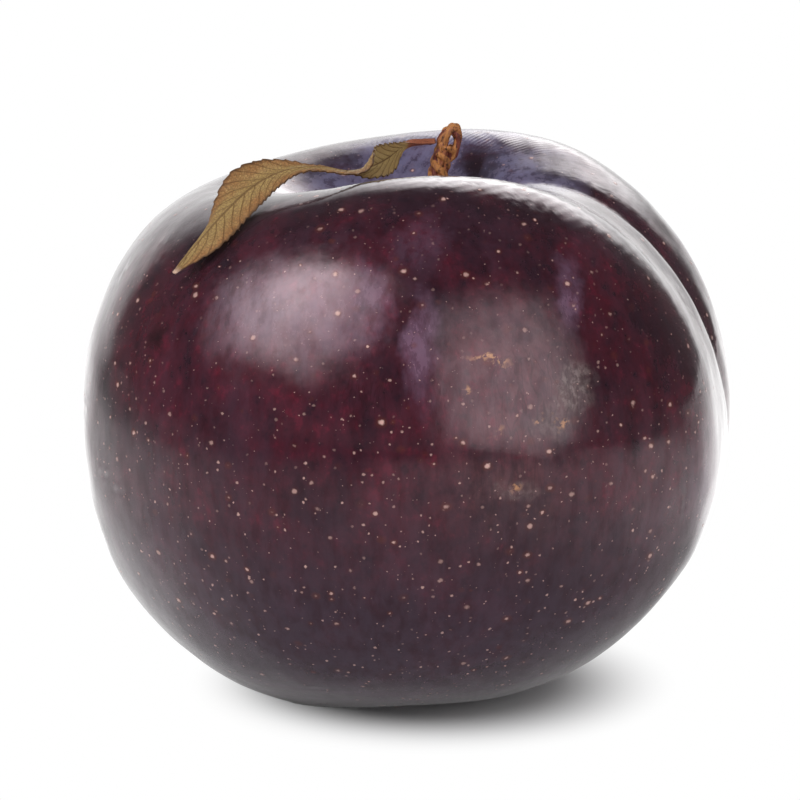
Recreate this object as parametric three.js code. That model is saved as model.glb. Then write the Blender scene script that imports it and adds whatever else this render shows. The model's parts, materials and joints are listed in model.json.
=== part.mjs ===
// A large dark dessert plum as picked, life size: the fruit, its dried stem and one dried leaf.
// Millimetres, +Z up. The origin is the centre of the small flat spot that the fruit rests on.
// The broad cheek faces -Y, and the crease runs from the stem hollow down the +X side.
import * as THREE from 'three';
import { mergeVertices } from 'three/addons/utils/BufferGeometryUtils.js';

const rad = THREE.MathUtils.degToRad;

// ---- Driving dimensions of the fruit ----
const CENTRE_HEIGHT = 26.8; // the fruit's middle above its flat spot
const LEAN = rad(-10); // the stem end leans towards -X
const NOD = rad(2.7); // and a little towards -Y
const HALF_WIDTH_CREASE = 34.8; // from the middle to the side with the crease
const HALF_WIDTH_PLAIN = 32.5; // to the side away from it
const HALF_DEPTH = 32; // front to back
const HALF_HEIGHT_TOP = 33.5; // to where the crown would be without its hollow
const HALF_HEIGHT_BOTTOM = 28.7;
const FULLNESS = 2.07; // 2 is an ellipsoid, and more is squarer
const HOLLOW_DEPTH = 8.3; // of the broad dish round the stem end
const HOLLOW_SPREAD = rad(25.3);
const PIT_DEPTH = 2.5; // of the smaller pit in it that the stem stands in
const PIT_SPREAD = rad(13);
const PIT_LEAN = rad(10); // the pit lies towards +X, where the crease begins
const CREASE_TURN = rad(81.5); // from the front, -Y, towards +X
const CREASE_DEPTH = 7.75; // at the stem end
const CREASE_DEPTH_FADE = rad(75);
const CREASE_STEEPNESS = 23.5; // how strongly its sides fall before the depth limits them
const CREASE_STEEPNESS_FADE = rad(60);
const CREASE_HALF_WIDTH = 7.4;
const CREASE_END = 8; // how gradually it stops at the plain side of the hollow
const FOLD_DEPTH = 0.85; // of the sharper fold on the far side of the crease
const FOLD_HALF_WIDTH = 1.9;
const FOLD_OFFSET = 2.8; // from the crease's middle
const FOLD_START = rad(24.5); // measured from the stem axis
const FOLD_START_FADE = rad(5);
const FOLD_END = rad(94);
const FOLD_END_FADE = rad(12);
const FOLD_SIDE = 4; // how gradually it stops at the plain side of the hollow
// Gentle swellings of the flesh, and hollows where the height is negative: the front of the hollow's lip,
// the underside towards the front, and the low side under the crease
const SWELLINGS = [
  { towards: [-1.3, -15.8, 24], height: 0.7, spread: rad(15.3) },
  { towards: [0, -12.5, -29.9], height: -1.1, spread: rad(15.7) },
  { towards: [16, -6, -22], height: 0.6, spread: rad(11) },
];
const COLUMNS = 88;
const RINGS = 44;
const CROWDING = 0.55; // how much closer together the columns stand along the crease

// ---- Driving dimensions of the stem ----
// Its route, from the floor of the pit to the split head, is measured from the fruit's middle.
const STEM_ROUTE = [
  [2.8, -0.9, 22.1],
  [3.3, -0.5, 24.2],
  [3.8, -0.2, 26.6],
  [4.4, 0, 29],
  [4.9, 0, 30.8],
];
const STEM_RADIUS = 1.1;
const STEM_FOOT_FLARE = 0.4; // added to the radius at the foot
const STEM_FLUTES = 3; // ridges that wind round the stalk
const STEM_FLUTE_DEPTH = 0.15;
const STEM_TWIST = rad(260); // from foot to head
const STEM_SIDES = 15;
const STEM_STEPS = 20;

// ---- Driving dimensions of the leaf ----
// Each step of its route is a point on the midrib, from the fruit's middle, with the direction of the width.
const LEAF_ROUTE = [
  { at: [2.7, -0.3, 28.9], width: [0, -1, 0.3] },
  { at: [1.8, -1.1, 29], width: [0, -1, 0.3] },
  { at: [0.2, -2.6, 28.9], width: [-0.2, -0.8, 0.5] },
  { at: [-1.6, -5.4, 27.9], width: [-0.4, -0.5, 0.75] },
  { at: [-3.3, -9.2, 27.5], width: [-0.3, -0.8, 0.5] },
  { at: [-5.3, -12.8, 27.5], width: [0.2, -1, 0.1] },
  { at: [-8.2, -13.5, 28], width: [0.2, -0.95, -0.2] },
  { at: [-11.4, -13.5, 27.6], width: [0.35, -0.85, -0.3] },
  { at: [-14.3, -14.2, 26.2], width: [0.5, -0.78, -0.25] },
  { at: [-16.9, -16, 24], width: [0.6, -0.72, -0.2] },
  { at: [-19, -17.7, 21.8], width: [0.6, -0.72, -0.2] },
  { at: [-21.7, -19.1, 18.7], width: [0.6, -0.72, -0.1] },
];
const PETIOLE_RADIUS = 0.35;
const PETIOLE_END = 0.18; // where along the route the stalk ends and the blade begins
const TWIST_AT = 0.42; // where the dried blade pinches together and turns over
const BASAL_HALF_WIDTH = 1.2; // of the blade before the pinch
const BLADE_HALF_WIDTH = 2.1; // of the blade after it
const PINCH_HALF_WIDTH = 0.7;
const LEAF_HALF_THICKNESS = 0.2;
const LEAF_SIDES = 12;
const LEAF_STEPS = 44;

// ---- The fruit ----

const fruitTurn = new THREE.Matrix4().makeRotationFromEuler(new THREE.Euler(NOD, LEAN, 0, 'XYZ'));
const fruitTurnBack = fruitTurn.clone().invert();
const inFruitAxes = (x, y, z) => new THREE.Vector3(x, y, z).normalize().applyMatrix4(fruitTurnBack);
const pitDirection = inFruitAxes(Math.sin(PIT_LEAN), 0, Math.cos(PIT_LEAN));
const swellings = SWELLINGS.map((swelling) => ({ ...swelling, middle: inFruitAxes(...swelling.towards) }));

const bell = (distance, spread) => Math.exp(-((distance / spread) ** 2));
const softLimit = (value, limit) => limit * (1 - Math.exp(-value / limit));
const rise = (distance, spread) => (1 + Math.tanh(distance / spread)) / 2;

// How far the skin is from the fruit's middle in a direction given in the fruit's own axes, stem end +Z
function skinRadius(direction) {
  const polar = Math.acos(THREE.MathUtils.clamp(direction.z, -1, 1));
  const turn = Math.atan2(direction.x, -direction.y);
  const middleWidth = (HALF_WIDTH_CREASE + HALF_WIDTH_PLAIN) / 2;
  const lopsided = (HALF_WIDTH_CREASE - HALF_WIDTH_PLAIN) / 2;
  const halfWidth = middleWidth + lopsided * Math.tanh(3 * direction.x);
  const halfHeight = direction.z > 0 ? HALF_HEIGHT_TOP : HALF_HEIGHT_BOTTOM;
  const across = Math.hypot(direction.x / halfWidth, direction.y / HALF_DEPTH);
  const along = Math.abs(direction.z / halfHeight);
  const body = (across ** FULLNESS + along ** FULLNESS) ** (-1 / FULLNESS);
  const dished = body - HOLLOW_DEPTH * bell(polar, HOLLOW_SPREAD);

  const outwards = dished * Math.sin(polar);
  const fromCrease = outwards * Math.sin(turn - CREASE_TURN);
  const towardsCrease = outwards * Math.cos(turn - CREASE_TURN);
  const onCreaseSide = rise(towardsCrease, CREASE_END);
  const steepness = CREASE_STEEPNESS * Math.exp(-polar / CREASE_STEEPNESS_FADE) * onCreaseSide;
  const limit = CREASE_DEPTH * Math.exp(-polar / CREASE_DEPTH_FADE);
  const crease = softLimit(steepness * bell(fromCrease, CREASE_HALF_WIDTH), limit);

  const foldReach = rise(polar - FOLD_START, 2 * FOLD_START_FADE) * rise(FOLD_END - polar, 2 * FOLD_END_FADE);
  const foldDepth = FOLD_DEPTH * foldReach * rise(towardsCrease, FOLD_SIDE);
  const fold = foldDepth * bell(fromCrease - FOLD_OFFSET, FOLD_HALF_WIDTH);

  const pit = PIT_DEPTH * bell(direction.angleTo(pitDirection), PIT_SPREAD);
  const swelled = swellings.reduce(
    (sum, { middle, height, spread }) => sum + height * bell(direction.angleTo(middle), spread),
    0,
  );
  return dished - crease - fold - pit + swelled;
}

// A lat-long ball with its poles on the stem axis, moved out to the skin and cut level at the flat spot
function fruitGeometry() {
  const ball = new THREE.SphereGeometry(1, COLUMNS, RINGS);
  const place = ball.attributes.position;
  const point = new THREE.Vector3();
  for (let i = 0; i < place.count; i += 1) {
    const column = (i % (COLUMNS + 1)) % COLUMNS;
    const ring = Math.floor(i / (COLUMNS + 1));
    const atPole = ring === 0 || ring === RINGS;
    const even = atPole ? 0 : (2 * Math.PI * column) / COLUMNS;
    const turn = CREASE_TURN + even - CROWDING * Math.sin(even);
    const polar = (Math.PI * ring) / RINGS;
    point.set(Math.sin(polar) * Math.sin(turn), -Math.sin(polar) * Math.cos(turn), Math.cos(polar));
    point.multiplyScalar(skinRadius(point)).applyMatrix4(fruitTurn);
    place.setXYZ(i, point.x, point.y, Math.max(0, point.z + CENTRE_HEIGHT));
  }
  return closed(ball);
}

// ---- Stalks and blades ----

const fromMiddle = ([x, y, z]) => new THREE.Vector3(x, y, z + CENTRE_HEIGHT);

// A closed cylinder laid along a route. section(t, angle) gives how far its wall stands out along the
// width and along the face there, and widthAt(t) gives the direction of the width.
function alongRoute(route, widthAt, sides, steps, section) {
  const rod = new THREE.CylinderGeometry(1, 1, 1, sides, steps);
  const place = rod.attributes.position;
  for (let i = 0; i < place.count; i += 1) {
    const t = place.getY(i) + 0.5;
    const fromAxis = Math.round(Math.hypot(place.getX(i), place.getZ(i)));
    const angle = Math.atan2(place.getX(i), place.getZ(i));
    const ahead = route.getTangent(t);
    const face = widthAt(t).cross(ahead).normalize();
    const width = ahead.clone().cross(face).normalize();
    const [out, up] = section(t, angle);
    const point = route.getPoint(t);
    point.addScaledVector(width, out * fromAxis).addScaledVector(face, up * fromAxis);
    place.setXYZ(i, point.x, point.y, point.z);
  }
  return closed(rod);
}

// The same surface with the corners that meet made one, and nothing but its shape
function closed(geometry) {
  geometry.deleteAttribute('normal');
  geometry.deleteAttribute('uv');
  const merged = mergeVertices(geometry);
  merged.computeVertexNormals();
  return merged;
}

function stemGeometry() {
  const route = new THREE.CatmullRomCurve3(STEM_ROUTE.map(fromMiddle));
  return alongRoute(route, () => new THREE.Vector3(0, 1, 0), STEM_SIDES, STEM_STEPS, (t, angle) => {
    const flare = STEM_FOOT_FLARE * bell(t, 0.15);
    const flutes = STEM_FLUTE_DEPTH * Math.cos(STEM_FLUTES * angle + STEM_TWIST * t);
    const radius = STEM_RADIUS + flare + flutes;
    return [radius * Math.sin(angle), radius * Math.cos(angle)];
  });
}

function bladeHalfWidth(t) {
  if (t < PETIOLE_END) {
    return PETIOLE_RADIUS;
  }
  if (t < TWIST_AT) {
    const along = (t - PETIOLE_END) / (TWIST_AT - PETIOLE_END);
    const ends = THREE.MathUtils.lerp(PETIOLE_RADIUS, PINCH_HALF_WIDTH, along);
    return ends + (BASAL_HALF_WIDTH - ends) * Math.sin(Math.PI * along);
  }
  const along = (t - TWIST_AT) / (1 - TWIST_AT);
  const ends = THREE.MathUtils.lerp(PINCH_HALF_WIDTH, LEAF_HALF_THICKNESS, along);
  return ends + (BLADE_HALF_WIDTH - ends) * Math.sin(Math.PI * along ** 0.8);
}

function leafGeometry() {
  const route = new THREE.CatmullRomCurve3(LEAF_ROUTE.map((step) => fromMiddle(step.at)));
  const widths = new THREE.CatmullRomCurve3(LEAF_ROUTE.map((step) => new THREE.Vector3(...step.width)));
  return alongRoute(route, (t) => widths.getPoint(t), LEAF_SIDES, LEAF_STEPS, (t, angle) => {
    const halfThickness = t < PETIOLE_END ? PETIOLE_RADIUS : LEAF_HALF_THICKNESS;
    return [bladeHalfWidth(t) * Math.sin(angle), halfThickness * Math.cos(angle)];
  });
}

// ---- The plum ----

function subpart(name, geometry, color, roughness) {
  const mesh = new THREE.Mesh(geometry, new THREE.MeshStandardMaterial({ color, roughness, metalness: 0 }));
  mesh.name = name;
  return mesh;
}

const plum = new THREE.Group();
plum.add(subpart('fruit', fruitGeometry(), '#43222a', 0.3));
plum.add(subpart('stem', stemGeometry(), '#7d4a33', 0.85));
plum.add(subpart('leaf', leafGeometry(), '#98794d', 0.8));

export default plum;
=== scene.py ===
import json
import math
import random

import bpy
from bpy.props import FloatProperty, FloatVectorProperty, IntProperty, PointerProperty
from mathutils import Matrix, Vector, kdtree, noise

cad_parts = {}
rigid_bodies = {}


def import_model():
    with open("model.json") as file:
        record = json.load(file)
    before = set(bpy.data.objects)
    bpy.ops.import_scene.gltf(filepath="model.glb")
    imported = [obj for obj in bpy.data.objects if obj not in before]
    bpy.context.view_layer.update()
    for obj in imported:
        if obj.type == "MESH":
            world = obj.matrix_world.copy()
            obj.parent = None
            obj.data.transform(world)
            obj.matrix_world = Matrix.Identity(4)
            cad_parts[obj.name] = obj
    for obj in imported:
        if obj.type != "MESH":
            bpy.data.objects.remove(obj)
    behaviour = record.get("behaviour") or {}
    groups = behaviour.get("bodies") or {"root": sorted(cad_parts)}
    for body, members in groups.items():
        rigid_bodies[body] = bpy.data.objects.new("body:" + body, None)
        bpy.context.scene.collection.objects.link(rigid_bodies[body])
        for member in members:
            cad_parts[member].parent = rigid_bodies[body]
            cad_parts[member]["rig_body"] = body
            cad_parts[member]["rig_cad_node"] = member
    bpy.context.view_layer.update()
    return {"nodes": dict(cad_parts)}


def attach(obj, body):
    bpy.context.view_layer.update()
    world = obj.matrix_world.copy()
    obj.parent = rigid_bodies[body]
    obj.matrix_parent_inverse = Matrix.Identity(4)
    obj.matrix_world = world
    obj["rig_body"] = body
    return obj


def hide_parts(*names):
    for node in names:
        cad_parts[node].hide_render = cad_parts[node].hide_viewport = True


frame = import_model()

bl_info = {
    "name": "Dessert Plum",
    "version": (1, 0, 0),
    "blender": (4, 5, 0),
    "location": "View3D > Sidebar > Plum",
    "description": "A ripe dark plum with its bloom, pores, dried stem and curled dried leaf",
    "category": "Add Mesh",
}

MM = 0.001
FRUIT_MIDDLE = Vector((0, 0, 26.8)) * MM
MERGE_DISTANCE = 0.005 * MM

# The skin under this height is pressed down by this much, so that the fruit stands on a level spot.
SPOT_HEIGHT = 0.25 * MM
SPOT_PRESS = 0.1 * MM

# The dried stem, in millimetres from the resting spot: from the floor of its pit to its shoulders, and the
# arch of its split head, from the left shoulder over to the right.
STEM_ROUTE = [(2.8, -0.9, 48.9), (3.15, -0.5, 50.8), (3.4, -0.2, 52.5), (3.75, 0.0, 54.0), (4.2, 0.0, 55.3)]
ARCH_ROUTE = [(3.75, 0.0, 54.3), (3.75, -0.1, 55.3), (4.0, -0.1, 56.25), (4.5, 0.0, 56.95), (5.1, 0.0, 56.95),
              (5.36, 0.05, 56.1), (5.16, 0.0, 55.0), (4.8, 0.0, 54.0)]
ARCH_STRANDS = 5
STEM_MESH_SIZE = 0.07 * MM

# How far the fibres, the bands and the strands of the arch wind from end to end, in radians.
FIBRE_TURN = 1.6
BAND_TURN = math.radians(520)
ARCH_TURN = 5

# The leaf's midrib: a point in millimetres from the resting spot, and which way the width runs there.
LEAF_ROUTE = [
    ((2.9, -0.3, 55.75), (0.0, -1.0, 0.3)),
    ((1.8, -1.1, 55.8), (0.0, -1.0, 0.3)),
    ((0.2, -2.6, 55.7), (-0.2, -0.8, 0.5)),
    ((-1.6, -5.4, 54.7), (-0.4, -0.5, 0.75)),
    ((-3.3, -9.2, 54.3), (-0.3, -0.8, 0.5)),
    ((-5.3, -12.8, 54.3), (0.2, -1.0, 0.1)),
    ((-8.2, -13.5, 54.8), (0.2, -0.95, -0.2)),
    ((-11.4, -13.5, 54.4), (0.35, -0.85, -0.3)),
    ((-14.3, -14.2, 53.0), (0.5, -0.78, -0.25)),
    ((-16.9, -16.0, 50.8), (0.6, -0.72, -0.2)),
    ((-19.0, -17.7, 48.6), (0.6, -0.72, -0.2)),
    ((-21.7, -19.1, 45.5), (0.6, -0.72, -0.1)),
]
LEAF_STEPS_ALONG = 260
LEAF_STEPS_ACROSS = 26
TEETH = 46
SIDE_VEINS = 30

# The studio, in metres from the middle of the fruit.
CAMERA_DISTANCE = 0.305
CAMERA_ELEVATION = math.radians(12)
AIM_ABOVE_MIDDLE = 2.56 * MM
AIM_LEFT_OF_MIDDLE = 0.41 * MM
LAMP_DISTANCE = 0.6
FLOOR_SIZE = 6


def linear(code):
    """An sRGB hex colour as linear red, green, blue and alpha."""
    parts = [int(code[i:i + 2], 16) / 255 for i in (1, 3, 5)]
    return tuple(c / 12.92 if c <= 0.04045 else ((c + 0.055) / 1.055) ** 2.4 for c in parts) + (1.0,)


def colour(name, code, description):
    """A colour property that starts at an sRGB hex value."""
    return FloatVectorProperty(name=name, description=description, subtype="COLOR", size=4, min=0, max=1,
                               default=linear(code))


# ---- Sizes and colours a user would change ----

class PlumFruitSettings(bpy.types.PropertyGroup):
    dent_depth: FloatProperty(name="Dent depth", description="How far the skin wanders from its smooth shape",
                              default=0.16 * MM, min=0, unit="LENGTH")
    dent_width: FloatProperty(name="Dent width", description="Distance from one soft dent to the next",
                              default=9 * MM, min=0.001, unit="LENGTH")
    dusky: colour("Dusky skin", "#260d14", "Skin where the purple pigment is thickest")
    ripe: colour("Ripe red skin", "#43131d", "Skin where the red pigment shows")
    crimson: colour("Crimson fleck", "#641526", "Small bright flecks of red")
    bloom: colour("Bloom", "#7c7a9e", "Bluish wax powder left in the hollow and low down")
    # also used for a painted reflection low on the right of the fruit
    worn_bloom_and_painted_reflection: colour("Worn bloom", "#8e6c88", "Wax powder rubbed thin, with the red showing through it")
    pore: colour("Pore", "#c7a097", "Corky pores in the skin")
    scar: colour("Scar", "#b98760", "Small healed scars")


class PlumStemSettings(bpy.types.PropertyGroup):
    fibres: IntProperty(name="Fibres", description="How many fibres run up the stem", default=11, min=3)
    bands: IntProperty(name="Bands", description="How many strips of bark wind round it", default=3, min=1)
    girth: FloatProperty(name="Girth", description="Half the thickness of the stem's core",
                         default=0.82 * MM, min=0.0002, unit="LENGTH")
    gold: colour("Dry fibre", "#b97a42", "Golden fibre of the strips and the arch")
    russet: colour("Russet bark", "#7a3a2c", "Reddish bark between them")


class PlumLeafSettings(bpy.types.PropertyGroup):
    thickness: FloatProperty(name="Thickness", description="Thickness of the dried blade",
                             default=0.14 * MM, min=0.00005, unit="LENGTH")
    stalk_thickness: FloatProperty(name="Stalk thickness", description="Thickness of the leaf's stalk",
                                   default=0.5 * MM, min=0.0001, unit="LENGTH")
    tooth: FloatProperty(name="Tooth depth", description="How far the teeth on the edge stand out",
                         default=0.22 * MM, min=0, unit="LENGTH")
    olive: colour("Olive blade", "#a48853", "Blade that still has some green")
    tan: colour("Tan blade", "#96683a", "Blade that has browned")
    stalk: colour("Stalk", "#a05c40", "Reddish brown leaf stalk")


class PlumStudioSettings(bpy.types.PropertyGroup):
    key: FloatProperty(name="Key brightness", description="Radiance of the soft box on the left",
                       default=6.9, min=0)
    fill: FloatProperty(name="Fill brightness", description="Radiance of the tall soft box on the right",
                        default=2.1, min=0)
    back: FloatProperty(name="Back brightness", description="Radiance of the soft box behind",
                        default=3.2, min=0)
    ambient: FloatProperty(name="Ambient", description="Soft light from the rest of the studio",
                           default=0.2, min=0)


# ---- Modelling helpers ----

def deselect_everything():
    if bpy.context.object and bpy.context.object.mode != "OBJECT":
        bpy.ops.object.mode_set(mode="OBJECT")
    bpy.ops.object.select_all(action="DESELECT")


def select_only(piece):
    deselect_everything()
    piece.select_set(True)
    bpy.context.view_layer.objects.active = piece


def apply_modifier(piece, kind, **settings):
    """Adds one modifier with its settings and applies it."""
    select_only(piece)
    made = piece.modifiers.new(kind.title(), kind)
    for name, value in settings.items():
        setattr(made, name, value)
    bpy.ops.object.modifier_apply(modifier=made.name)


def finish_piece(piece, node, material, smooth_angle=180):
    """Gives the piece its material and smooth shading, and puts it in the frame for its CAD node."""
    piece.data.materials.clear()
    piece.data.materials.append(material)
    select_only(piece)
    bpy.ops.object.shade_smooth_by_angle(angle=math.radians(smooth_angle))
    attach(piece, "root")
    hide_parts(node)


def spline_point(points, t):
    """A point at t, from 0 to 1, on a smooth curve through the points."""
    spans = len(points) - 1
    place = min(max(t, 0), 1) * spans
    i = min(int(place), spans - 1)
    s = place - i
    a, b, c, d = (Vector(points[min(max(i + k, 0), spans)]) for k in (-1, 0, 1, 2))
    squared, cubed = 2 * a - 5 * b + 4 * c - d, 3 * b - a - 3 * c + d
    return 0.5 * (2 * b + (c - a) * s + squared * s ** 2 + cubed * s ** 3)


def smooth_step(value, low, high):
    t = min(max((value - low) / (high - low), 0), 1)
    return t * t * (3 - 2 * t)


def bell(distance, spread):
    return math.exp(-((distance / spread) ** 2))


# ---- Material helper ----

def add(tree, kind, settings=None, inputs=None):
    """Adds a node with its settings, and fills its inputs from other nodes' sockets or plain values."""
    made = tree.nodes.new(kind)
    for name, value in (settings or {}).items():
        setattr(made, name, value)
    for name, value in (inputs or {}).items():
        if isinstance(value, bpy.types.NodeSocket):
            tree.links.new(value, made.inputs[name])
        else:
            made.inputs[name].default_value = value
    return made


def new_material(name):
    material = bpy.data.materials.new(name)
    material.use_nodes = True
    material.node_tree.nodes.clear()
    return material, material.node_tree


def calculate(tree, operation, first, second=0.0, third=0.0):
    """The result of one sum on up to three values."""
    return add(tree, "ShaderNodeMath", {"operation": operation}, {0: first, 1: second, 2: third}).outputs[0]


def smooth(tree, value, low, high, least=0.0, most=1.0):
    """Goes softly from least to most as the value goes from low to high."""
    return add(tree, "ShaderNodeMapRange", {"interpolation_type": "SMOOTHSTEP"}, {
        "Value": value, "From Min": low, "From Max": high, "To Min": least, "To Max": most}).outputs[0]


def blend(tree, share, base, over):
    """The base colour with that share of the other over it."""
    return add(tree, "ShaderNodeMix", {"data_type": "RGBA"}, {0: share, 6: base, 7: over}).outputs[2]


def noise_field(tree, mm, stretch, size, detail, roughness):
    """Soft noise with features of that size in millimetres, drawn out along axes whose stretch is under 1."""
    place = add(tree, "ShaderNodeVectorMath", {"operation": "MULTIPLY"}, {0: mm, 1: stretch}).outputs[0]
    return add(tree, "ShaderNodeTexNoise", {}, {
        "Vector": place, "Scale": 1 / size, "Detail": detail, "Roughness": roughness}).outputs[0]


def wandering(tree, mm, size, reach, detail=2):
    """The coordinates pushed about by up to half of reach, in waves of that size."""
    waves = add(tree, "ShaderNodeTexNoise", {}, {
        "Vector": mm, "Scale": 1 / size, "Detail": detail, "Roughness": 0.65}).outputs["Color"]
    centred = add(tree, "ShaderNodeVectorMath", {"operation": "SUBTRACT"}, {0: waves, 1: (0.5, 0.5, 0.5)})
    return add(tree, "ShaderNodeVectorMath", {"operation": "MULTIPLY_ADD"}, {
        0: centred.outputs[0], 1: reach, 2: mm}).outputs[0]


def millimetres(tree):
    """The piece's own coordinates, in millimetres."""
    place = add(tree, "ShaderNodeTexCoord").outputs["Object"]
    return add(tree, "ShaderNodeVectorMath", {"operation": "SCALE"}, {0: place, "Scale": 1 / MM}).outputs[0]


# ---- The fruit's skin ----

# Places on the skin in millimetres: centre, half sizes and strength.
BLOOM_AND_PAINTED_REFLECTION_PATCHES = [
    ((1.6, -29.3, 40.2), (1.6, 4, 6.0), 0.6),
    ((-3.6, -27.6, 44.1), (2.6, 4, 4.2), 0.5),
    ((1.5, -24.2, 48.9), (3, 4, 3), 0.2),
    ((15.5, -23.8, 44.3), (1.5, 4, 4.2), 0.55),
    ((-13.5, -24.6, 43.0), (6.5, 5, 5), 0.3),
    ((-7.5, -27.5, 42.8), (6, 5, 4.5), 0.3),
    # painted reflection: pale violet low on the right, where that side mirrors the studio
    ((28.4, -14, 25.5), (3, 6, 6), 0.35),
    ((29, 5, 41.5), (3, 3, 4.5), 0.5),
]
# Painted highlight: where the key and fill soft boxes reflect, these patches paint the skin a warm grey and
# make the wax hazier.
HAZE_AND_PAINTED_HIGHLIGHT_PATCHES = [
    ((10.2, -28.8, 37.0), (6.5, 6, 10), 0.5),
    ((-9.5, -26.8, 42.5), (10, 6, 6.5), 0.35),
    ((9.4, -30.2, 27.5), (7, 6, 5), 0.4),
]
SCUFF_PATCHES = [
    ((15.4, -27.6, 36.0), (2.0, 4, 2.9), 1.0),
    ((13.4, -28.6, 33.2), (2.6, 4, 1.6), 0.55),
    ((10.4, -30.2, 27.0), (2.2, 4, 1.2), 0.45),
]
SCRATCH_PATCHES = [
    ((12, -28.4, 35.5), (7, 5, 6), 0.9),
    ((9.8, -30.2, 28.6), (6, 5, 4), 0.6),
    ((-3.5, -30.8, 36.1), (4, 5, 3.2), 0.7),
    ((-20, -8, 51), (7, 7, 3), 0.8),
]
SCAR_PATCHES = [
    ((8.0, -29.2, 38.9), (2.2, 2, 0.55), 1.0),
    ((12, -29.4, 33.5), (0.7, 1.5, 0.6), 1.0),
    ((14.6, -28.4, 33.2), (0.9, 1.5, 0.4), 0.8),
    ((5.9, -29.7, 36.4), (0.6, 1.5, 0.6), 0.9),
    ((10.6, -30.3, 27.4), (0.7, 1.5, 0.45), 0.9),
    ((8.6, -30.0, 32.8), (0.5, 1.5, 0.5), 0.5),
]
RUB_PATCHES = [
    ((7.5, 4.3, 53.1), (2.5, 4, 3), 0.9),
    ((12.5, 7.5, 54.0), (4, 4, 2), 0.7),
    ((15.5, 1.5, 53.0), (3, 4, 2), 0.6),
    ((-7, 7, 53.2), (3.5, 4, 2), 0.6),
    ((-23.5, -19.4, 39.1), (1.6, 1.6, 1.6), 1.0),
]


def patches(tree, mm, places):
    """Soft-edged oval patches at fixed places, the strongest where they overlap."""
    total = None
    for centre, half_sizes, strength in places:
        off = add(tree, "ShaderNodeVectorMath", {"operation": "SUBTRACT"}, {0: mm, 1: centre}).outputs[0]
        scaled = add(tree, "ShaderNodeVectorMath", {"operation": "DIVIDE"}, {0: off, 1: half_sizes})
        far = add(tree, "ShaderNodeVectorMath", {"operation": "LENGTH"}, {0: scaled.outputs[0]})
        spot = smooth(tree, far.outputs["Value"], 1.3, 0.2, 0, strength)
        total = spot if total is None else calculate(tree, "MAXIMUM", total, spot)
    return total


def pores(tree, mm, spacing, radius, flattening):
    """Pores about spacing apart, of at most that radius, in millimetres, wider than tall by flattening.
    Gives the dots, the rings round them and a random share for each."""
    squeezed = add(tree, "ShaderNodeVectorMath", {"operation": "MULTIPLY"}, {0: mm, 1: (1, 1, flattening)})
    cells = add(tree, "ShaderNodeTexVoronoi", {"feature": "F1"}, {
        "Vector": squeezed.outputs[0], "Scale": 1 / spacing})
    edge = radius / spacing
    own = add(tree, "ShaderNodeSeparateColor", {}, {"Color": cells.outputs["Color"]})
    size = calculate(tree, "POWER", own.outputs[0], 1.4)
    size = calculate(tree, "MULTIPLY_ADD", size, 0.8 * edge, 0.45 * edge)
    share = calculate(tree, "DIVIDE", cells.outputs["Distance"], size)
    return smooth(tree, share, 1.1, 0.45), smooth(tree, share, 2.3, 0.9), own.outputs[1]


def scratches(tree, mm, angle, length, spacing, seed):
    """Hair-fine scratches that run at an angle to upright, wander, and are about spacing apart."""
    turned = add(tree, "ShaderNodeMapping", {}, {
        "Vector": mm, "Location": (seed, 0, 0), "Rotation": (0, math.radians(angle), 0),
        "Scale": (1, 1, spacing / length)})
    field = add(tree, "ShaderNodeTexNoise", {}, {
        "Vector": turned.outputs[0], "Scale": 0.5 / spacing, "Detail": 1.5, "Roughness": 0.6})
    off_line = calculate(tree, "ABSOLUTE", calculate(tree, "SUBTRACT", field.outputs[0], 0.5))
    return smooth(tree, off_line, 0.022, 0.004)


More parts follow.
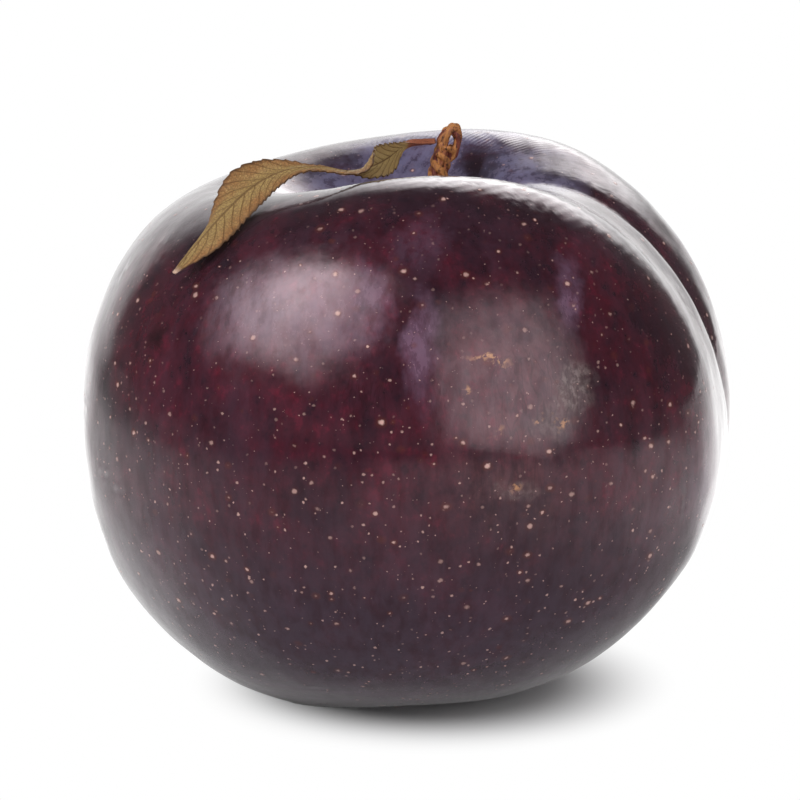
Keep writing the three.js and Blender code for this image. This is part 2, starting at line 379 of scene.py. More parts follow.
def plum_skin(settings):
    """Ripe plum skin: a smooth waxy cuticle over mottled red and purple pigment, glossy where it is rubbed
    clean, soft and bluish where its powdery bloom is left, and dotted with pale corky pores."""
    material, tree = new_material("plum_skin_waxy")
    mm = millimetres(tree)
    height = add(tree, "ShaderNodeSeparateXYZ", {}, {0: mm}).outputs["Z"]

    # wandering copies of the coordinates, so that patches and pores have ragged edges
    ragged = wandering(tree, mm, 3.5, (4, 4, 5), 3)
    uneven = wandering(tree, mm, 0.3, (0.22, 0.22, 0.22), 1)

    # pigment: red clouds about 9 mm across with 2 mm mottles and 0.5 mm grain, drawn out from stem to base,
    # redder in a band round the shoulder, with crimson flecks and nearly black specks
    clouds = noise_field(tree, mm, (1, 1, 0.8), 9, 3, 0.55)
    mottles = noise_field(tree, mm, (1, 1, 0.75), 2.2, 4, 0.68)
    grain = noise_field(tree, mm, (1, 1, 0.8), 0.5, 3, 0.6)
    streaks = noise_field(tree, mm, (1, 1, 0.25), 1.1, 4, 0.7)
    low_down = smooth(tree, height, 26, 6, 0, -0.2)
    high_up = smooth(tree, height, 43, 52, 0, -0.14)
    red = calculate(tree, "MULTIPLY_ADD", mottles, 0.75, clouds)
    red = calculate(tree, "MULTIPLY_ADD", grain, 0.25, red)
    red = calculate(tree, "ADD", calculate(tree, "ADD", red, low_down), high_up)
    pigment = blend(tree, smooth(tree, red, 0.72, 1.22), settings.dusky, settings.ripe)
    fleck = noise_field(tree, mm, (1, 1, 0.85), 1.3, 3, 0.6)
    crimson = smooth(tree, fleck, 0.5, 0.74, 0, 0.7)
    crimson = calculate(tree, "MULTIPLY", crimson, smooth(tree, red, 0.9, 1.15))
    pigment = blend(tree, crimson, pigment, settings.crimson)
    pigment = blend(tree, smooth(tree, fleck, 0.46, 0.28, 0, 0.6), pigment, linear("#180a10"))
    pigment = blend(tree, smooth(tree, height, 32, 10, 0, 0.7), pigment, linear("#311a23"))

    # bloom: thick in the hollow, thin near the base, worn to violet patches on the cheek, one of which, low
    # on the right, is a painted reflection, and brushed in fine strokes, with a thin film of wax over all but
    # the rubbed places
    from_pit = add(tree, "ShaderNodeVectorMath", {"operation": "DISTANCE"}, {0: ragged, 1: (3.5, 0.5, 50)})
    hollow = smooth(tree, from_pit.outputs["Value"], 16.5, 11.5, 0, 0.8)
    rubbed = patches(tree, ragged, RUB_PATCHES)
    powder = calculate(tree, "MAXIMUM", hollow, smooth(tree, height, 28, 4, 0.04, 0.13))
    brushed = smooth(tree, streaks, 0.3, 0.62, 0.4, 1)
    kept = calculate(tree, "SUBTRACT", 1, rubbed)
    bloom = calculate(tree, "MULTIPLY", calculate(tree, "MULTIPLY", powder, brushed), kept)
    worn_bloom_and_painted_reflection = calculate(tree, "MULTIPLY", patches(tree, ragged, BLOOM_AND_PAINTED_REFLECTION_PATCHES), brushed)
    film = noise_field(tree, ragged, (1, 1, 0.4), 5, 4, 0.62)
    film = calculate(tree, "MULTIPLY", smooth(tree, film, 0.48, 0.7, 0, 0.22), kept)
    skin = blend(tree, film, pigment, linear("#54303f"))
    # worn bloom, and a painted reflection low on the right
    skin = blend(tree, calculate(tree, "MULTIPLY", worn_bloom_and_painted_reflection, 0.75), skin, settings.worn_bloom_and_painted_reflection)
    skin = blend(tree, calculate(tree, "MULTIPLY", bloom, 0.75), skin, settings.bloom)
    skin = blend(tree, calculate(tree, "MULTIPLY", rubbed, 0.6), skin, linear("#181016"))

    # handling marks: scuffed pale patches and hair-fine crossing scratches, and hazy wax whose warm grey is a
    # painted highlight where the soft boxes reflect
    scored = scratches(tree, mm, 58, 9, 0.75, 3)
    scored = calculate(tree, "MAXIMUM", scored, scratches(tree, mm, -35, 7, 0.9, 17))
    scored = calculate(tree, "MAXIMUM", scored, scratches(tree, mm, 82, 6, 0.6, 29))
    scored = calculate(tree, "MULTIPLY", scored, patches(tree, ragged, SCRATCH_PATCHES))
    # painted highlight: the haze lightens the skin to a warm grey under the two soft-box reflections
    haze = patches(tree, ragged, HAZE_AND_PAINTED_HIGHLIGHT_PATCHES)
    haze = calculate(tree, "MULTIPLY", haze, smooth(tree, mottles, 0.38, 0.62, 0.25, 1))
    skin = blend(tree, calculate(tree, "MULTIPLY", haze, 0.4), skin, linear("#86605f"))
    scuff = patches(tree, ragged, SCUFF_PATCHES)
    scuff = calculate(tree, "MULTIPLY", scuff, smooth(tree, grain, 0.36, 0.64, 0.2, 0.6))
    skin = blend(tree, scuff, skin, linear("#8f8480"))
    skin = blend(tree, calculate(tree, "MULTIPLY", scored, 0.5), skin, linear("#1d1014"))

    # healed scars: clusters of tan corky grains
    corky = smooth(tree, noise_field(tree, mm, (1, 1, 1), 0.55, 3, 0.65), 0.46, 0.6)
    scars = calculate(tree, "MULTIPLY", patches(tree, ragged, SCAR_PATCHES), corky)
    skin = blend(tree, scars, skin, settings.scar)

    # pores: a few of 0.5 mm with a brown ring, wider than tall, and many fine ones, clearest near the base
    large, rings, own = pores(tree, uneven, 1.95, 0.28, 1.15)
    fine, _, own_fine = pores(tree, uneven, 0.9, 0.155, 1.0)
    specks, _, own_speck = pores(tree, uneven, 0.5, 0.07, 1.0)
    low = smooth(tree, height, 46, 24, 0.2, 0.9)
    large = calculate(tree, "MULTIPLY", large, smooth(tree, own, 0, 1, 0.45, 1))
    fine = calculate(tree, "MULTIPLY", fine, low)
    fine = calculate(tree, "MULTIPLY", fine, smooth(tree, own_fine, 0.1, 0.9, 0.25, 1))
    specks = calculate(tree, "MULTIPLY", specks, smooth(tree, own_speck, 0.5, 1, 0, 0.75))
    dots = calculate(tree, "MAXIMUM", calculate(tree, "MAXIMUM", large, fine), specks)
    rings = calculate(tree, "MULTIPLY", rings, smooth(tree, own, 0.2, 1, 0.1, 0.5))
    skin = blend(tree, rings, skin, linear("#5a2a20"))
    skin = blend(tree, dots, skin, settings.pore)

    # gloss: clean wax is smooth, powder, haze and scuffs scatter
    dull = calculate(tree, "MULTIPLY_ADD", calculate(tree, "MAXIMUM", bloom, worn_bloom_and_painted_reflection), 0.3, 0.08)
    dull = calculate(tree, "MULTIPLY_ADD", haze, 0.2, dull)
    dull = calculate(tree, "MULTIPLY_ADD", scuff, 0.25, dull)
    dull = calculate(tree, "MULTIPLY_ADD", streaks, 0.1, dull)
    dull = calculate(tree, "MULTIPLY_ADD", film, 0.25, dull)
    dull = calculate(tree, "MULTIPLY_ADD", dots, 0.3, dull)

    # relief: the larger pores stand about 0.02 mm proud, and the wax has a fine, slightly drawn-out grain
    rough = calculate(tree, "MULTIPLY_ADD", grain, 0.5, large)
    rough = calculate(tree, "MULTIPLY_ADD", mottles, 0.9, rough)
    relief = add(tree, "ShaderNodeBump", {}, {
        "Strength": 0.7, "Distance": 0.02 * MM, "Height": rough}).outputs[0]

    # the wax reflects in strokes, more where it is thick
    wax = smooth(tree, calculate(tree, "MULTIPLY_ADD", mottles, 0.5, streaks), 0.5, 0.95, 0.38, 0.58)
    coat = calculate(tree, "MULTIPLY", wax, 0.75)
    shader = add(tree, "ShaderNodeBsdfPrincipled", {}, {
        "Base Color": skin, "Roughness": dull, "IOR": 1.5, "Normal": relief,
        "Specular IOR Level": wax, "Specular Tint": linear("#ffdce9"),
        "Sheen Weight": 0.2, "Sheen Roughness": 0.35,
        "Coat Weight": coat, "Coat Roughness": 0.07, "Coat IOR": 1.5, "Coat Normal": relief})
    add(tree, "ShaderNodeOutputMaterial", {}, {"Surface": shader.outputs[0]})
    return material


class PLUM_OT_fruit(bpy.types.Operator):
    """Finish the fruit: a smooth skin with soft dents, and the flat spot that it rests on"""
    bl_idname = "plum.fruit"
    bl_label = "Fruit"

    def execute(self, context):
        settings = context.scene.plum_fruit
        select_only(frame["nodes"]["fruit"])
        bpy.ops.object.duplicate()
        fruit = context.view_layer.objects.active
        bpy.ops.object.parent_clear(type="CLEAR_KEEP_TRANSFORM")
        fruit.name = fruit.data.name = "plum_fruit"
        del fruit["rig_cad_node"]
        del fruit["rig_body"]
        bpy.ops.object.mode_set(mode="EDIT")
        bpy.ops.mesh.select_all(action="SELECT")
        bpy.ops.mesh.remove_doubles(threshold=MERGE_DISTANCE)
        bpy.ops.mesh.tris_convert_to_quads(face_threshold=math.radians(60), shape_threshold=math.radians(60))
        bpy.ops.mesh.normals_make_consistent(inside=False)
        bpy.ops.mesh.subdivide(number_cuts=1, smoothness=1)
        bpy.ops.mesh.subdivide(number_cuts=1, smoothness=1)
        bpy.ops.object.mode_set(mode="OBJECT")
        apply_modifier(fruit, "SMOOTH", factor=0.5, iterations=5)
        dents = bpy.data.textures.new("soft_dents", "CLOUDS")
        dents.noise_scale = settings.dent_width
        dents.noise_depth = 2
        apply_modifier(fruit, "DISPLACE", texture=dents, texture_coords="LOCAL", mid_level=0.5,
                       strength=settings.dent_depth * 2)
        for vertex in fruit.data.vertices:
            if vertex.co.z < SPOT_HEIGHT:
                vertex.co.z = max(0, vertex.co.z - SPOT_PRESS)
        finish_piece(fruit, "fruit", plum_skin(settings))
        return {"FINISHED"}


# ---- The dried stem ----

def dried_stem(settings):
    """Dried plum stalk: woody fibre that split and twisted as it dried, with golden strips over reddish
    purple bark, painted shade nearly black in its folds, and matt all over."""
    material, tree = new_material("stem_dried_fibre")
    mm = millimetres(tree)
    strip = add(tree, "ShaderNodeAttribute", {"attribute_name": "strip"}).outputs["Fac"]
    fibres = noise_field(tree, wandering(tree, mm, 0.8, (0.5, 0.5, 0.3)), (1, 1, 0.3), 0.22, 5, 0.7)
    blotch = noise_field(tree, mm, (1, 1, 0.7), 0.7, 3, 0.6)
    golden = calculate(tree, "MULTIPLY_ADD", blotch, 0.9, strip)
    golden = calculate(tree, "MULTIPLY_ADD", fibres, 0.5, golden)
    bark = blend(tree, smooth(tree, golden, 1.05, 1.8), settings.russet, settings.gold)
    bark = blend(tree, smooth(tree, blotch, 0.56, 0.7, 0, 0.5), bark, linear("#7c4650"))
    bark = blend(tree, smooth(tree, fibres, 0.58, 0.78, 0, 0.6), bark, linear("#d39a58"))
    # painted shade: the low parts of the fibre relief are darkened nearly black
    bark = blend(tree, smooth(tree, fibres, 0.5, 0.36, 0, 0.9), bark, linear("#32150f"))
    relief = add(tree, "ShaderNodeBump", {}, {"Strength": 0.8, "Distance": 0.06 * MM, "Height": fibres})
    shader = add(tree, "ShaderNodeBsdfPrincipled", {}, {
        "Base Color": bark, "Roughness": 0.65, "IOR": 1.45, "Normal": relief.outputs[0]})
    add(tree, "ShaderNodeOutputMaterial", {}, {"Surface": shader.outputs[0]})
    return material


class PLUM_OT_stem(bpy.types.Operator):
    """Build the stem's core, the fibres up it, the strips wound round it and the arch of its split head"""
    bl_idname = "plum.stem"
    bl_label = "Stem"

    def execute(self, context):
        settings = context.scene.plum_stem
        draws = random.Random(7)
        deselect_everything()
        curve = bpy.data.curves.new("plum_stem", "CURVE")
        curve.dimensions = "3D"
        curve.bevel_depth = 1 * MM
        curve.bevel_resolution = 2
        curve.use_fill_caps = True
        core = settings.girth / MM
        samples = []

        def strand(points, strip):
            line = curve.splines.new("POLY")
            line.points.add(len(points) - 1)
            for spot, (place, radius) in zip(line.points, points):
                spot.co = (*(place * MM), 1)
                spot.radius = radius
                samples.append((place, radius, strip))

        def around(t, angle, reach):
            low = 1 + 0.3 * bell(t, 0.15)
            return spline_point(STEM_ROUTE, t) + Vector((math.sin(angle), -math.cos(angle), 0)) * reach * low

        strand([(around(i / 20, 0, 0), core * (1 + 0.25 * bell(i / 20, 0.15) - 0.1 * i / 20))
                for i in range(21)], 0)
        for k in range(settings.fibres):
            start = 2 * math.pi * k / settings.fibres + draws.uniform(-0.2, 0.2)
            seed = draws.uniform(0, 100)
            radius = draws.uniform(0.14, 0.24)
            last = draws.uniform(0.88, 1)
            strand([(around(last * i / 30,
                            start - FIBRE_TURN * i / 30 + 0.5 * noise.noise(Vector((seed, i * 0.15, 0))),
                            core * 0.98 + 0.1 * noise.noise(Vector((seed, i * 0.3, 9)))),
                     radius * (1 + 0.3 * noise.noise(Vector((seed, i * 0.4, 5))))) for i in range(31)],
                   draws.choice((0, 0.2, 0.7)))
        for k in range(settings.bands):
            start = 2 * math.pi * (k + 0.35) / settings.bands
            seed = draws.uniform(0, 100)
            for side in (-0.2, 0.05, 0.28):
                radius = draws.uniform(0.15, 0.21)
                strand([(around(0.1 + 0.88 * i / 60, start + side - BAND_TURN * i / 60
                                + 0.35 * noise.noise(Vector((seed, i * 0.08, 0))), core * 1.1),
                         radius * (1 + 0.3 * noise.noise(Vector((seed, i * 0.3, side)))))
                        for i in range(61)], 1)
        for k in range(ARCH_STRANDS):
            angle = 2 * math.pi * k / ARCH_STRANDS
            seed = draws.uniform(0, 100)
            points = []
            for i in range(41):
                t = i / 40
                thick = 1.75 - 0.6 * smooth_step(t, 0.3, 0.75)
                turn = angle + ARCH_TURN * t
                offset = Vector((math.cos(turn), math.sin(turn), math.sin(turn + 1))) * 0.2 * thick
                points.append((spline_point(ARCH_ROUTE, t) + offset,
                               0.2 * thick * (1 + 0.35 * noise.noise(Vector((seed, i * 0.3, 0))))))
            strand(points, draws.choice((0.3, 0.8, 1)))
        stem = bpy.data.objects.new("plum_stem", curve)
        context.scene.collection.objects.link(stem)
        select_only(stem)
        bpy.ops.object.convert(target="MESH")
        stem = context.view_layer.objects.active
        apply_modifier(stem, "REMESH", mode="VOXEL", voxel_size=STEM_MESH_SIZE)
        apply_modifier(stem, "SMOOTH", factor=0.5, iterations=1)
        tree = kdtree.KDTree(len(samples))
        for i, (place, _, _) in enumerate(samples):
            tree.insert(place, i)
        tree.balance()
        strip = stem.data.attributes.new("strip", "FLOAT", "POINT")
        for vertex in stem.data.vertices:
            near = tree.find_n(vertex.co / MM, 12)
            nearest = min((gap - samples[i][1], samples[i][2]) for _, i, gap in near)
            strip.data[vertex.index].value = nearest[1]
        finish_piece(stem, "stem", dried_stem(settings))
        return {"FINISHED"}


# ---- The dried leaf ----

PETIOLE_END = 0.18

# Half widths of the blade in millimetres, below and above its midrib, at even steps from the stalk to the
# tip: the basal part, the pinch where it twists, the broad shoulder and the tip.
BLADE_HALF_WIDTHS = [(0.3, 0.3), (1.4, 1.35), (1.7, 1.0), (1.0, 0.3), (0.72, 0.55), (1.3, 1.6),
                     (2.25, 3.1), (2.4, 2.0), (2.15, 1.0), (0.2, 0.15)]

# The share of the blade on each side of its midrib that stays flat, before the edges turn up.
FLAT_PART = 0.35

# Half the distance from one side vein to the next, as a share of the leaf's length.
VEIN_HALF_SPACING = 0.0165


def leaf_half_width(t, v):
    """Half the leaf's width in millimetres at t along its midrib, on the side of it that v lies on."""
    if t < PETIOLE_END:
        return 0.31 + 0.12 * bell(t, 0.03)
    below, above = spline_point(BLADE_HALF_WIDTHS, (t - PETIOLE_END) / (1 - PETIOLE_END))
    return max(0.15, below + (above - below) * smooth_step(-v, -0.3, 0.3))


def curled(t, v, half):
    """How far out and how far up a point of the blade lies, at v from -1 to 1 across it: the edges turn up,
    and near the tip the outer one rolls right over."""
    if v < 0:
        roll = math.radians(30 - 115 * bell(t - 0.69, 0.1) + 150 * smooth_step(t, 0.8, 0.92))
        roll *= smooth_step(t, PETIOLE_END, PETIOLE_END + 0.1)
    else:
        roll = math.radians(25) * smooth_step(t, PETIOLE_END, PETIOLE_END + 0.1)
    beyond = max(abs(v) - FLAT_PART, 0)
    turned = roll * beyond / (1 - FLAT_PART)
    reach = beyond * half * (math.sin(turned) / turned if abs(turned) > 0.01 else 1)
    rise = beyond * half * ((1 - math.cos(turned)) / turned if abs(turned) > 0.01 else 0)
    return math.copysign(min(abs(v), FLAT_PART) * half + reach, v), rise


def dried_leaf(settings):
    """Dried plum leaf: thin papery blade, olive in the middle and tan towards its edges, with sunken side
    veins, a fine net between them and darker teeth, on a reddish stalk."""
    material, tree = new_material("leaf_dried_paper")
    mm = millimetres(tree)
    sheet = add(tree, "ShaderNodeUVMap", {"uv_map": "UVMap"})
    parts = add(tree, "ShaderNodeSeparateXYZ", {}, {0: sheet.outputs[0]})
    along, across = parts.outputs["X"], parts.outputs["Y"]
    side = calculate(tree, "ABSOLUTE", calculate(tree, "SUBTRACT", across, 0.5))
    blotch = noise_field(tree, mm, (1, 1, 1), 1.3, 4, 0.65)
    grain = noise_field(tree, mm, (1, 1, 1), 0.16, 3, 0.65)

    net = add(tree, "ShaderNodeTexVoronoi", {"feature": "DISTANCE_TO_EDGE"}, {
        "Vector": wandering(tree, mm, 0.3, (0.2, 0.2, 0.2)), "Scale": 1 / 0.34})
    net_lines = smooth(tree, net.outputs["Distance"], 0.14, 0.0)
    slant = calculate(tree, "MULTIPLY_ADD", side, -0.16, along)
    slant = calculate(tree, "MULTIPLY_ADD", blotch, 0.012, slant)
    rib_lines = smooth(tree, calculate(tree, "PINGPONG", slant, VEIN_HALF_SPACING), 0.0035, 0.0005)
    midrib = smooth(tree, side, 0.045, 0.015)

    brown = calculate(tree, "MULTIPLY_ADD", side, 1.4, calculate(tree, "ADD", blotch, -0.35))
    blade = blend(tree, smooth(tree, brown, 0.3, 0.85), settings.olive, settings.tan)
    blade = blend(tree, smooth(tree, grain, 0.55, 0.7, 0, 0.45), blade, linear("#cdb07a"))
    blade = blend(tree, smooth(tree, grain, 0.48, 0.3, 0, 0.65), blade, linear("#5f3f22"))
    blade = blend(tree, calculate(tree, "MULTIPLY", net_lines, 0.55), blade, linear("#6b4a2a"))
    # partly the paler face of the basal part, partly painted light: the part near the stalk faces down into
    # shade and is lightened
    blade = blend(tree, smooth(tree, along, 0.44, 0.34, 0, 0.6), blade, linear("#c4a66a"))
    lines = calculate(tree, "MAXIMUM", rib_lines, midrib)
    blade = blend(tree, calculate(tree, "MULTIPLY", lines, 0.7), blade, linear("#62401f"))
    ragged_rim = calculate(tree, "MULTIPLY_ADD", grain, 0.08, side)
    blade = blend(tree, smooth(tree, ragged_rim, 0.49, 0.535, 0, 0.75), blade, linear("#4a2f1c"))
    blade = blend(tree, smooth(tree, along, 0.975, 0.995, 0, 0.8), blade, linear("#d9b9a8"))
    leaf = blend(tree, smooth(tree, along, 0.2, 0.165), blade, settings.stalk)
    leaf = blend(tree, smooth(tree, along, 0.02, 0.0, 0, 0.8), leaf, linear("#3a1d14"))

    bumps = calculate(tree, "MULTIPLY_ADD", net_lines, -0.5, blotch)
    bumps = calculate(tree, "MULTIPLY_ADD", grain, 0.4, bumps)
    bumps = calculate(tree, "MULTIPLY_ADD", rib_lines, -0.8, bumps)
    relief = add(tree, "ShaderNodeBump", {}, {"Strength": 0.8, "Distance": 0.06 * MM, "Height": bumps})
    shader = add(tree, "ShaderNodeBsdfPrincipled", {}, {
        "Base Color": leaf, "Roughness": 0.65, "IOR": 1.45, "Normal": relief.outputs[0]})
    add(tree, "ShaderNodeOutputMaterial", {}, {"Surface": shader.outputs[0]})
    return material


class PLUM_OT_leaf(bpy.types.Operator):
    """Curl the dried leaf over the shoulder of the fruit, with its stalk, veins and toothed edges"""
    bl_idname = "plum.leaf"
    bl_label = "Leaf"

    def execute(self, context):
        settings = context.scene.plum_leaf
        deselect_everything()
        bpy.ops.mesh.primitive_grid_add(x_subdivisions=LEAF_STEPS_ALONG, y_subdivisions=LEAF_STEPS_ACROSS,
                                        size=2)
        leaf = context.view_layer.objects.active
        leaf.name = leaf.data.name = "plum_leaf"
        points = [point for point, _ in LEAF_ROUTE]
        widths = [width for _, width in LEAF_ROUTE]
        stalk = leaf.vertex_groups.new(name="stalk")
        for vertex in leaf.data.vertices:
            t = (vertex.co.x + 1) / 2
            v = vertex.co.y
            ahead = (spline_point(points, t + 0.004) - spline_point(points, t - 0.004)).normalized()
            face = spline_point(widths, t).cross(ahead).normalized()
            width = ahead.cross(face).normalized()
            blade = smooth_step(t, PETIOLE_END - 0.02, PETIOLE_END + 0.05)
            half = leaf_half_width(t, v)
            saw = (t * TEETH) % 1
            at_edge = smooth_step(abs(v), 0.8, 1) * smooth_step(1 - t, 0, 0.08)
            half += blade * settings.tooth / MM * saw * at_edge
            flat, rise = curled(t, v, half)
            ribs = bell(((t - 0.07 * abs(v)) * SIDE_VEINS % 1 - 0.5) * 2, 0.3) * 0.06
            rise += blade * (ribs * (1 - bell(v, 0.12)) - 0.09 * bell(v, 0.1))
            rise += blade * 0.25 * noise.noise(Vector((t * 11, v * 1.2, 3))) * smooth_step(abs(v), 0.1, 1)
            vertex.co = (spline_point(points, t) + width * flat + face * rise) * MM
            stalk.add([vertex.index], 1 - blade, "REPLACE")
        apply_modifier(leaf, "SOLIDIFY", thickness=settings.stalk_thickness, offset=0, vertex_group="stalk",
                       thickness_vertex_group=settings.thickness / settings.stalk_thickness)
        finish_piece(leaf, "leaf", dried_leaf(settings), 50)
        return {"FINISHED"}


# ---- The studio ----

def floor_paper():
    """White studio paper: matt and bright enough to lose its edge, with the fruit's shadow kept on it; to
    shiny surfaces it shows painted light and a painted shadow.
    """
    material, tree = new_material("floor_white_paper")
    place = add(tree, "ShaderNodeTexCoord").outputs["Object"]
    away = add(tree, "ShaderNodeVectorMath", {"operation": "LENGTH"}, {0: place}).outputs["Value"]
    parts = add(tree, "ShaderNodeSeparateXYZ", {}, {0: place}).outputs
    seen = add(tree, "ShaderNodeLightPath")
    straight = seen.outputs["Is Camera Ray"]
    shiny = calculate(tree, "MAXIMUM", seen.outputs["Is Glossy Ray"], seen.outputs["Is Transmission Ray"])

    # to the camera: paper under the fruit and in its shadow, plain white further out
    from_spot = add(tree, "ShaderNodeVectorMath", {"operation": "DISTANCE"}, {0: place, 1: (0.003, 0, 0)})
    shown = calculate(tree, "MULTIPLY", smooth(tree, from_spot.outputs["Value"], 0.012, 0.0255), straight)
    mirrored = calculate(tree, "MULTIPLY", smooth(tree, away, 0.012, 0.024), shiny)

    # in shiny surfaces the paper shows painted light: bright near the fruit and dimmer in front, the sweep
    # behind it, a painted shadow of the fruit on the right and a painted glow of the fill
    near = smooth(tree, away, 0.5, 0.06, 0.2, 0.9)
    turned_away = calculate(tree, "DIVIDE", parts["Y"], away)
    near = calculate(tree, "MULTIPLY", near, smooth(tree, turned_away, -1, 0, 0.28, 1))
    to_sweep = add(tree, "ShaderNodeVectorMath", {"operation": "DOT_PRODUCT"}, {0: place, 1: (0.25, 0.97, 0)})
    behind = smooth(tree, calculate(tree, "DIVIDE", to_sweep.outputs["Value"], away), 0.4, 0.68, 0, 0.9)
    from_shade = add(tree, "ShaderNodeVectorMath", {"operation": "DISTANCE"}, {0: place, 1: (0.016, 0, 0)})
    shade = smooth(tree, from_shade.outputs["Value"], 0.02, 0.062, 0.26, 1)
    from_glow = add(tree, "ShaderNodeVectorMath", {"operation": "DISTANCE"}, {0: place, 1: (0.13, -0.18, 0)})
    glow = smooth(tree, from_glow.outputs["Value"], 0.3, 0.04, 0, 0.42)
    painted_reflection_level = calculate(tree, "MULTIPLY", calculate(tree, "ADD", near, behind), shade)
    painted_reflection_level = calculate(tree, "ADD", painted_reflection_level, glow)
    level = calculate(tree, "MAXIMUM", calculate(tree, "MULTIPLY", painted_reflection_level, shiny), straight)
    paper = add(tree, "ShaderNodeBsdfDiffuse", {}, {"Color": linear("#f4f4f4")})
    white = add(tree, "ShaderNodeEmission", {}, {"Color": (1, 1, 1, 1), "Strength": level})
    mixed = add(tree, "ShaderNodeMixShader", {}, {
        0: calculate(tree, "MAXIMUM", shown, mirrored), 1: paper.outputs[0], 2: white.outputs[0]})
    add(tree, "ShaderNodeOutputMaterial", {}, {"Surface": mixed.outputs[0]})
    return material


def studio_world(ambient):
    """A white sweep behind the fruit and a dim studio in front, even to matt surfaces, white to a camera."""
    world = bpy.data.worlds.new("studio")
    world.use_nodes = True
    tree = world.node_tree
    tree.nodes.clear()
    place = add(tree, "ShaderNodeTexCoord")
    behind = add(tree, "ShaderNodeVectorMath", {"operation": "DOT_PRODUCT"}, {
        0: place.outputs["Generated"], 1: (-0.14, 0.99, 0)}).outputs["Value"]
    sweep = smooth(tree, behind, 0.69, 0.9, 0.07, 1.15)
    above = add(tree, "ShaderNodeSeparateXYZ", {}, {0: place.outputs["Generated"]}).outputs["Z"]
    haze = calculate(tree, "MULTIPLY", smooth(tree, behind, 0.1, -0.6, 0, 0.13), smooth(tree, above, 0.3, 0))
    sweep = calculate(tree, "ADD", sweep, haze)
    seen = add(tree, "ShaderNodeLightPath")
    shiny = calculate(tree, "MAXIMUM", seen.outputs["Is Glossy Ray"], seen.outputs["Is Transmission Ray"])
    plain = (ambient, ambient, ambient, 1)
    shown = blend(tree, seen.outputs["Is Camera Ray"], blend(tree, shiny, plain, sweep), (1, 1, 1, 1))
    light = add(tree, "ShaderNodeBackground", {}, {"Color": shown, "Strength": 1})
    add(tree, "ShaderNodeOutputWorld", {}, {"Surface": light.outputs[0]})
    return world


def soft_box(name, azimuth, elevation, width, height, radiance, fading):
    """A lamp of that radiance in its middle, which fades towards its edges. The azimuth is measured from the
    front, towards +X. It fades over a share of its width at each side, and over shares of its height at its
    bottom and its top."""
    turn, lift = math.radians(azimuth), math.radians(elevation)
    towards = Vector((math.sin(turn) * math.cos(lift), -math.cos(turn) * math.cos(lift), math.sin(lift)))
    place = FRUIT_MIDDLE + towards * LAMP_DISTANCE
    bpy.ops.object.light_add(type="AREA", location=place, rotation=towards.to_track_quat("Z", "Y").to_euler())
    lamp = bpy.context.view_layer.objects.active
    lamp.name = lamp.data.name = name
    lamp.data.shape = "RECTANGLE"
    lamp.data.size = width
    lamp.data.size_y = height
    lamp.data.energy = radiance * math.pi * width * height
    lamp.data.use_nodes = True
    tree = lamp.data.node_tree
    tree.nodes.clear()
    on_lamp = add(tree, "ShaderNodeNewGeometry").outputs["Parametric"]
    parts = add(tree, "ShaderNodeSeparateXYZ", {}, {0: on_lamp}).outputs
    across = smooth(tree, calculate(tree, "PINGPONG", parts["X"], 0.5), 0, fading[0])
    up = smooth(tree, parts["Y"], 0, fading[1])
    down = smooth(tree, parts["Y"], 1, 1 - fading[2])
    level = calculate(tree, "MULTIPLY", calculate(tree, "MULTIPLY", across, up), down)
    light = add(tree, "ShaderNodeEmission", {}, {"Strength": level})
    add(tree, "ShaderNodeOutputLight", {}, {"Surface": light.outputs[0]})


class PLUM_OT_camera(bpy.types.Operator):
    """Place the camera low in front of the fruit"""
    bl_idname = "plum.camera"
    bl_label = "Camera"

    def execute(self, context):
        deselect_everything()
        back = Vector((0, -math.cos(CAMERA_ELEVATION), math.sin(CAMERA_ELEVATION)))
        up = Vector((0, math.sin(CAMERA_ELEVATION), math.cos(CAMERA_ELEVATION)))
        place = FRUIT_MIDDLE + back * CAMERA_DISTANCE
        aim = FRUIT_MIDDLE + up * AIM_ABOVE_MIDDLE - Vector((AIM_LEFT_OF_MIDDLE, 0, 0))
        bpy.ops.object.camera_add(location=place)
        camera = context.view_layer.objects.active
        camera.name = camera.data.name = "studio_camera"
        camera.rotation_euler = (aim - place).to_track_quat("-Z", "Y").to_euler()
        camera.data.lens = 135
        camera.data.sensor_width = 36
        camera.data.clip_start = 0.01
        context.scene.camera = camera
        return {"FINISHED"}


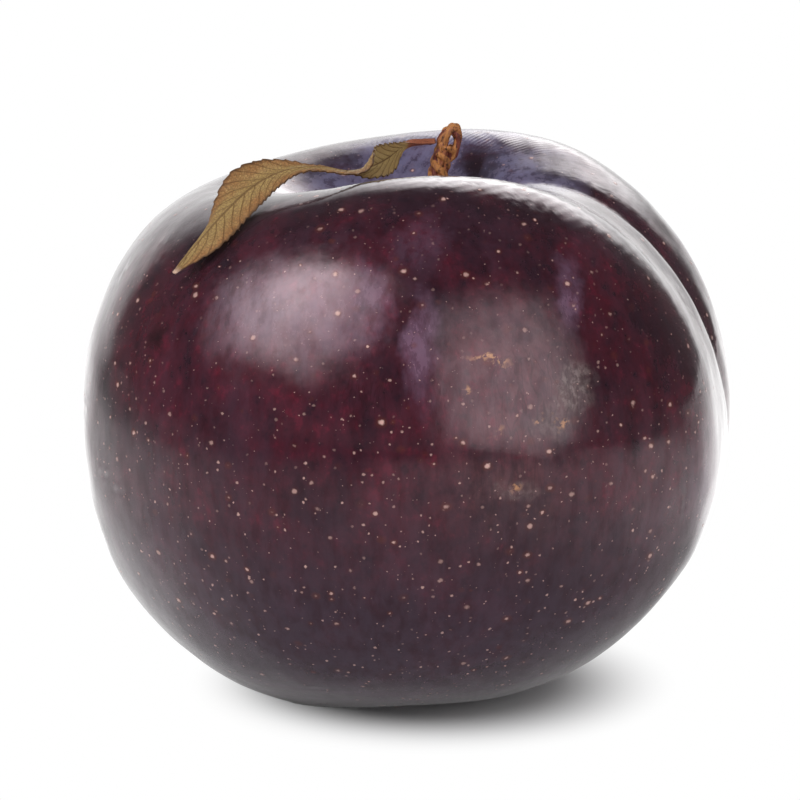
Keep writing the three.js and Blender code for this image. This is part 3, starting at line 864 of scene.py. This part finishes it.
class PLUM_OT_studio(bpy.types.Operator):
    """Lay the white floor and set up the three soft boxes and the pale surroundings"""
    bl_idname = "plum.studio"
    bl_label = "Studio"

    def execute(self, context):
        settings = context.scene.plum_studio
        deselect_everything()
        bpy.ops.mesh.primitive_plane_add(size=FLOOR_SIZE, location=(0, 0, 0))
        floor = context.view_layer.objects.active
        floor.name = floor.data.name = "studio_floor"
        floor.data.materials.append(floor_paper())
        soft_box("key_soft_box", -50, 41, 0.78, 0.6, settings.key, (0.5, 0.62, 0.36))
        soft_box("fill_soft_box", 33, 19.5, 0.62, 0.78, settings.fill, (0.32, 0.4, 0.42))
        soft_box("back_soft_box", 162, 36, 0.58, 0.52, settings.back, (0.35, 0.35, 0.3))
        context.scene.world = studio_world(settings.ambient)
        context.scene.view_settings.view_transform = "Standard"
        return {"FINISHED"}


class PLUM_PT_panel(bpy.types.Panel):
    """Lists the plum's pieces and the studio"""
    bl_idname = "PLUM_PT_panel"
    bl_label = "Dessert Plum"
    bl_space_type = "VIEW_3D"
    bl_region_type = "UI"
    bl_category = "Plum"

    def draw(self, context):
        scene = context.scene
        for operator, settings in ((PLUM_OT_camera, None), (PLUM_OT_fruit, scene.plum_fruit),
                                   (PLUM_OT_stem, scene.plum_stem), (PLUM_OT_leaf, scene.plum_leaf),
                                   (PLUM_OT_studio, scene.plum_studio)):
            box = self.layout.box()
            box.operator(operator.bl_idname)
            if settings:
                for name in settings.__annotations__:
                    box.prop(settings, name)


CLASSES = (PlumFruitSettings, PlumStemSettings, PlumLeafSettings, PlumStudioSettings, PLUM_OT_camera,
           PLUM_OT_fruit, PLUM_OT_stem, PLUM_OT_leaf, PLUM_OT_studio, PLUM_PT_panel)


def register():
    for each in CLASSES:
        bpy.utils.register_class(each)
    bpy.types.Scene.plum_fruit = PointerProperty(type=PlumFruitSettings)
    bpy.types.Scene.plum_stem = PointerProperty(type=PlumStemSettings)
    bpy.types.Scene.plum_leaf = PointerProperty(type=PlumLeafSettings)
    bpy.types.Scene.plum_studio = PointerProperty(type=PlumStudioSettings)


def unregister():
    del bpy.types.Scene.plum_studio
    del bpy.types.Scene.plum_leaf
    del bpy.types.Scene.plum_stem
    del bpy.types.Scene.plum_fruit
    for each in reversed(CLASSES):
        bpy.utils.unregister_class(each)


def main():
    register()
    bpy.ops.plum.camera()
    bpy.ops.plum.fruit()
    bpy.ops.plum.stem()
    bpy.ops.plum.leaf()
    bpy.ops.plum.studio()


if __name__ == "__main__":
    main()
